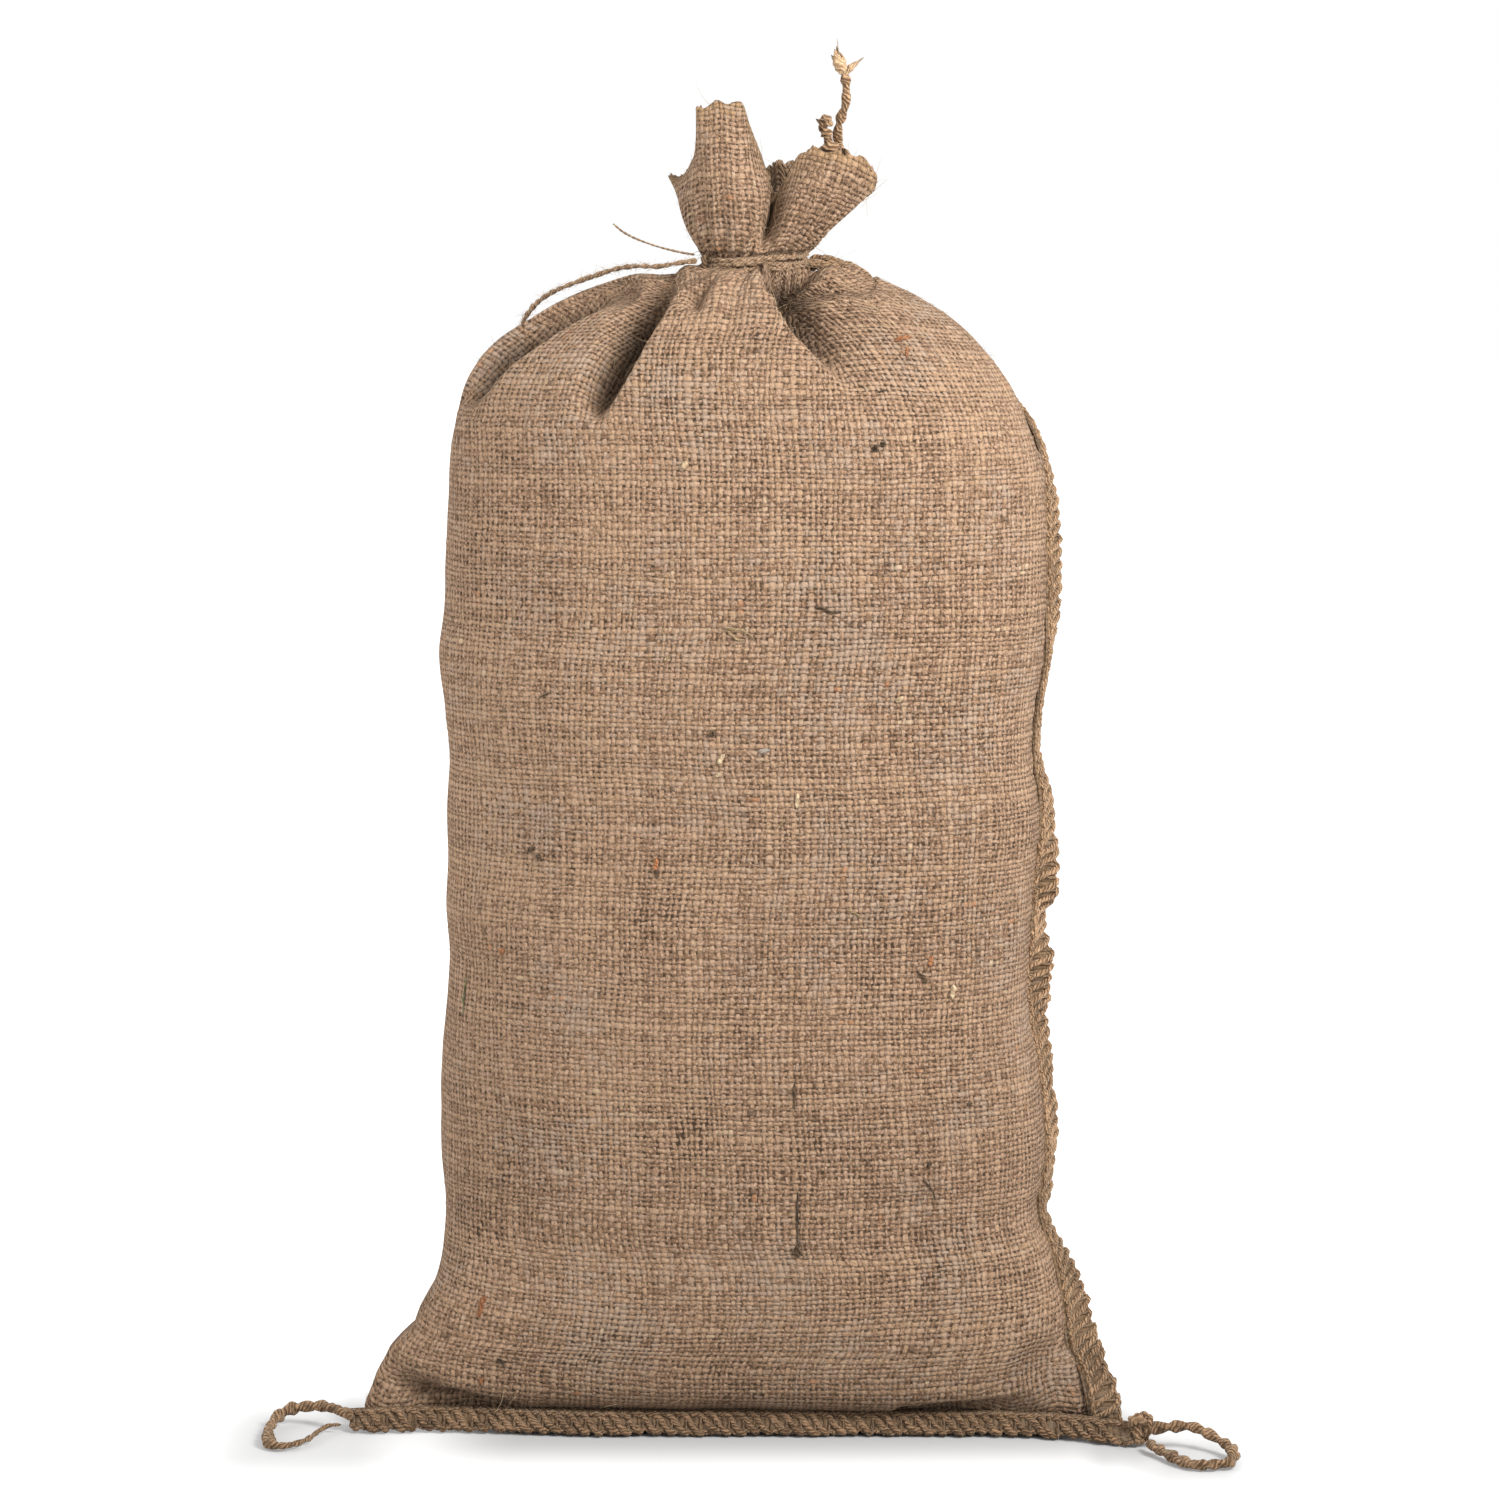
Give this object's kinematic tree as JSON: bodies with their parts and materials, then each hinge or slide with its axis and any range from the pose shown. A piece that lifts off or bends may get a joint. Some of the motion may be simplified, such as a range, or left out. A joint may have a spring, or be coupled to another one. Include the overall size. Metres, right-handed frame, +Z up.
{
  "type": "filled burlap sack tied at the neck",
  "caption": "Small upright jute sack, filled and bulging, gathered at the neck with twine, with its open mouth standing above the tie and a sewn side and bottom seam.",
  "frame": {"origin": "on the flat underside of the filled sack, below the middle of its body", "axes": "+Z up the standing sack, +X towards its sewn side, -Y towards the front, where the bottom seam lies"},
  "size_m": [0.3764, 0.1778, 0.5345],
  "materials": {
    "burlap": "coarse plain-weave jute cloth, uneven yarns",
    "seam_thread": "golden jute sewing thread over a cut cloth edge",
    "tie_twine": "hairy two-ply jute twine"
  },
  "bodies": {
    "root": {"sack_cloth": "burlap", "side_seam": "seam_thread", "bottom_seam": "seam_thread", "neck_tie": "tie_twine", "tie_end_long": "tie_twine", "tie_end_thin": "tie_twine", "corner_loop_left": "seam_thread", "corner_knot_right": "seam_thread", "corner_loop_right": "seam_thread", "seam_tail": "seam_thread", "seam_tail_stub": "seam_thread"}
  },
  "joints": []
}
